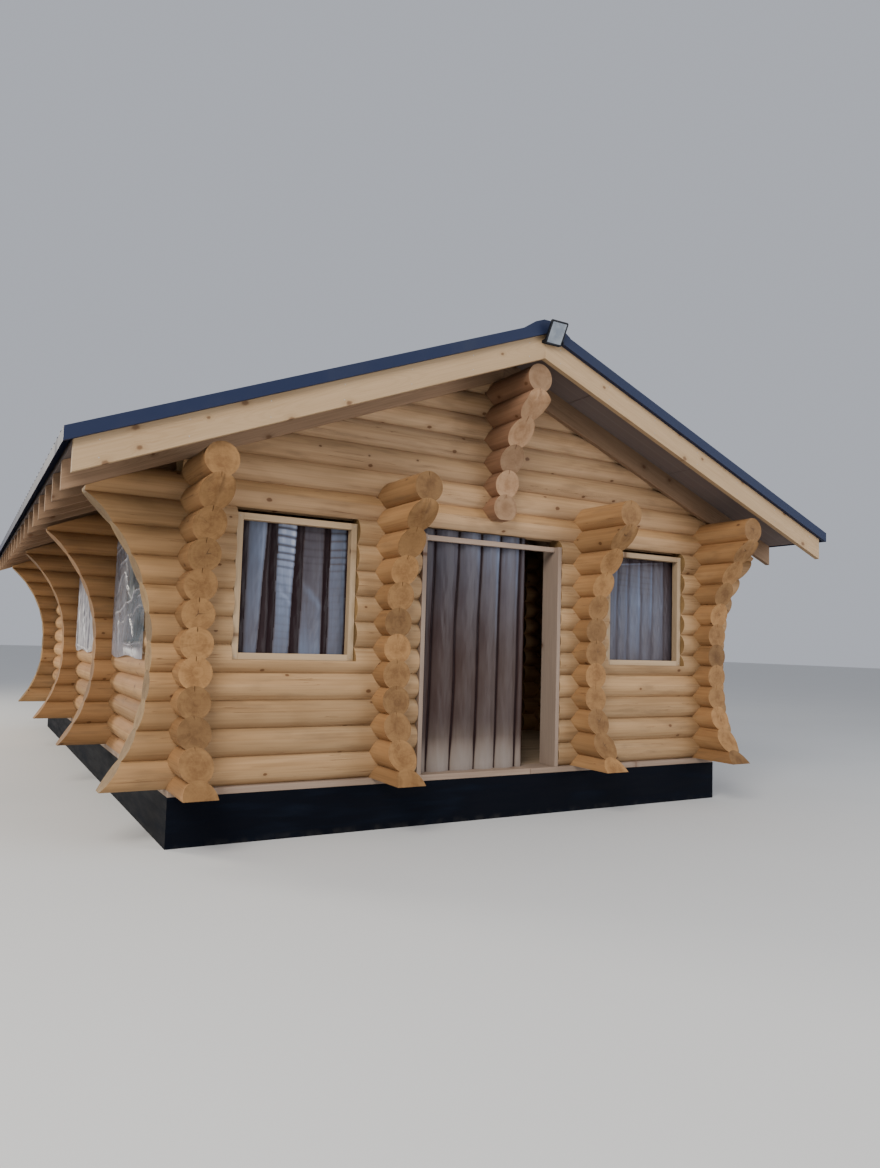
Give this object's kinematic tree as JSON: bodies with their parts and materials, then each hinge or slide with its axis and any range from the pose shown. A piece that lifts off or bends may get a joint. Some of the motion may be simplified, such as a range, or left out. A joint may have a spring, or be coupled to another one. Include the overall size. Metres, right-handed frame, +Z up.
{
  "type": "log bathhouse",
  "caption": "Scribed round-log bathhouse on a strip plinth, with waisted log ends, open doorway and a gable roof on rafters.",
  "frame": {"origin": "centre of the plan on the ground, at the foot of the plinth", "axes": "+X to the right along the front, +Y from the front to the back, +Z up"},
  "size_m": [7.22, 10.1906, 4.1961],
  "materials": {
    "bitumen_concrete": "concrete with a black bitumen coat",
    "wall_log": "rounded pine, bare",
    "stack_log": "rounded pine, bare, with sawn ends",
    "gable_log": "rounded pine, bare",
    "sill_board": "planed board",
    "floor_board": "sawn boards",
    "rafter_board": "sawn board",
    "barge_board": "planed board",
    "deck_board": "stained sawn boards",
    "batten": "sawn batten",
    "roof_metal": "dark blue coated steel sheet",
    "frame_batten": "planed batten",
    "film": "translucent polythene film",
    "lamp_body": "black coated casting",
    "lamp_glass": "flat glass"
  },
  "bodies": {
    "root": {"plinth": "bitumen_concrete", "sill_boards": "sill_board", "floor_deck": "floor_board", "front_wall_left_logs": "wall_log", "front_wall_right_logs": "wall_log", "back_wall_logs": "wall_log", "front_gable_logs": "gable_log", "back_gable_logs": "gable_log", "left_wall_logs": "stack_log", "right_wall_logs": "stack_log", "wall_plate_logs": "stack_log", "door_left_stack": "stack_log", "door_right_stack": "stack_log", "left_cross_wall_ends": "stack_log", "right_cross_wall_ends": "stack_log", "front_ridge_stack": "stack_log", "back_ridge_stack": "stack_log", "ridge_log": "stack_log", "left_rafters": "rafter_board", "right_rafters": "rafter_board", "front_barge_boards": "barge_board", "back_barge_boards": "barge_board", "left_roof_deck": "deck_board", "right_roof_deck": "deck_board", "roof_battens": "batten", "left_roof_sheet": "roof_metal", "right_roof_sheet": "roof_metal", "front_verge_trims": "roof_metal", "back_verge_trims": "roof_metal", "eave_trims": "roof_metal", "ridge_cap": "roof_metal", "front_window_frames": "frame_batten", "left_window_frames": "frame_batten", "right_window_frames": "frame_batten", "door_frame": "frame_batten", "front_left_film": "film", "front_right_film": "film", "left_film_1": "film", "left_film_2": "film", "right_film_1": "film", "right_film_2": "film", "door_film": "film", "floodlight_body": "lamp_body", "floodlight_glass": "lamp_glass", "floodlight_bracket": "lamp_body"}
  },
  "joints": []
}
